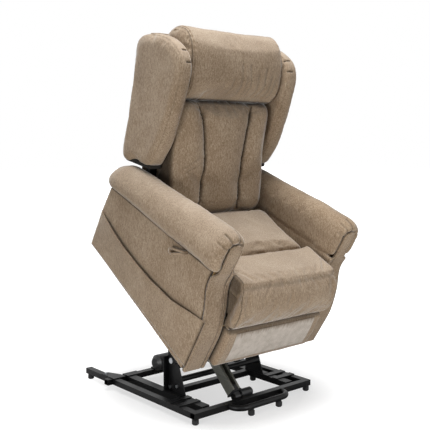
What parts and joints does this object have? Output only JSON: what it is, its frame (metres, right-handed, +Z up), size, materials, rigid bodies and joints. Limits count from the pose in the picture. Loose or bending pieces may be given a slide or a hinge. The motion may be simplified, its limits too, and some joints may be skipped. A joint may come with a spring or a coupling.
{
  "type": "lift recliner",
  "caption": "Wing-backed padded lift recliner on a black steel base with a powered scissor-style lift linkage, shown raised and tilted forward.",
  "frame": {"origin": "on the floor, at the middle of the bounding box", "axes": "+Z up, -Y to the front of the chair, +X to the right of someone facing its front; the person's left-hand side is +X"},
  "size_m": [0.805, 1.056, 1.5753],
  "materials": {
    "powder_black": "satin black powder coat",
    "rubber": "matt black",
    "zinc": "bright zinc plate",
    "alloy": "grey anodised extrusion",
    "black_plastic": "moulded, fine texture",
    "plywood": "bare birch plywood",
    "fabric": "brushed suede-like microfibre, mottled nap",
    "patch_cloth": "plain pale cloth",
    "backing": "woven elastic webbing"
  },
  "bodies": {
    "base": {"front_cross_tube": "powder_black", "rear_cross_tube": "powder_black", "mid_cross_tube": "powder_black", "left_outer_rail": "powder_black", "right_outer_rail": "powder_black", "inner_rails": "powder_black", "outriggers": "powder_black", "front_bumper": "powder_black", "base_plates": "powder_black", "base_feet": "rubber", "base_bolts": "zinc", "left_upright": "powder_black", "right_upright": "powder_black", "upright_tie": "powder_black", "lift_bracket": "powder_black", "power_pack": "black_plastic", "power_pack_saddles": "powder_black", "upright_pins": "zinc"},
    "lift_arms": {"left_lift_arm": "powder_black", "right_lift_arm": "powder_black", "torque_tube": "powder_black"},
    "guide_link_pair": {"guide_links": "powder_black"},
    "lift_actuator": {"lift_channel": "alloy", "lift_gearmotor": "black_plastic"},
    "lift_push_rod": {"lift_rod": "zinc"},
    "chair": {"left_hanger": "powder_black", "right_hanger": "powder_black", "hanger_pins": "zinc", "seat_rails": "powder_black", "front_seat_rail": "powder_black", "rear_seat_rail": "powder_black", "seat_springs": "zinc", "left_arm_frame": "plywood", "right_arm_frame": "plywood", "arm_brackets": "powder_black", "left_side_panel": "fabric", "right_side_panel": "fabric", "front_facings": "fabric", "left_arm_pad": "fabric", "right_arm_pad": "fabric", "left_inner_arm": "fabric", "right_inner_arm": "fabric", "side_pocket": "fabric", "pull_loop": "fabric", "seat_cushion": "fabric", "knee_pad": "fabric", "rear_valance": "fabric"},
    "back": {"back_posts": "powder_black", "back_rails": "powder_black", "back_webbing": "backing", "back_cushion": "fabric", "head_pillow": "fabric", "left_wing": "fabric", "right_wing": "fabric", "outside_back": "fabric"},
    "legrest": {"legrest_board": "plywood", "legrest_pad": "fabric", "front_patch": "patch_cloth"},
    "recline_drive": {"recline_actuator": "black_plastic"},
    "recline_push_rod": {"recline_rod": "zinc"}
  },
  "joints": [
    {"name": "lift", "type": "hinge", "parent": "base", "child": "lift_arms", "pos_m": [0, 0.0017, 0.25], "axis": [1, 0, 0], "range_deg": [0, 63.5]},
    {"name": "chair_tilt", "type": "hinge", "parent": "lift_arms", "child": "chair", "pos_m": [0, -0.17524, 0.35831], "axis": [1, 0, 0], "range_deg": [-95.2, 0]},
    {"name": "guide", "type": "hinge", "parent": "base", "child": "guide_link_pair", "pos_m": [0, -0.0163, 0.186], "axis": [1, 0, 0], "range_deg": [0, 49]},
    {"name": "lift_drive_swing", "type": "hinge", "parent": "base", "child": "lift_actuator", "pos_m": [-0.07, -0.2403, 0.05], "axis": [1, 0, 0], "range_deg": [0, 11]},
    {"name": "lift_drive_stroke", "type": "slide", "parent": "lift_actuator", "child": "lift_push_rod", "axis": [0, 0.7157, 0.6984], "range_m": [-0.0654, 0]},
    {"name": "recline", "type": "hinge", "parent": "chair", "child": "back", "pos_m": [0, 0.13166, 0.81254], "axis": [1, 0, 0], "range_deg": [-32, 0]},
    {"name": "recline_drive_swing", "type": "hinge", "parent": "chair", "child": "recline_drive", "pos_m": [0, -0.05419, 0.64722], "axis": [1, 0, 0], "range_deg": [0, 20.03]},
    {"name": "recline_drive_stroke", "type": "slide", "parent": "recline_drive", "child": "recline_push_rod", "axis": [0, 0.9677, 0.252], "range_m": [-0.04473, 0]},
    {"name": "legrest", "type": "hinge", "parent": "chair", "child": "legrest", "pos_m": [0, -0.40314, 0.5081], "axis": [1, 0, 0], "range_deg": [-82, 0], "deforming": ["knee_pad"]}
  ],
  "couplings": [
    {"joint": "chair_tilt", "follows": "lift", "ratio": -1.4992},
    {"joint": "guide", "follows": "lift", "ratio": 0.77165},
    {"joint": "lift_drive_swing", "follows": "lift", "ratio": 0.17323},
    {"joint": "lift_drive_stroke", "follows": "lift", "m_per_rad": -0.05901},
    {"joint": "recline_drive_swing", "follows": "recline", "ratio": -0.62581},
    {"joint": "recline_drive_stroke", "follows": "recline", "m_per_rad": 0.080098}
  ]
}
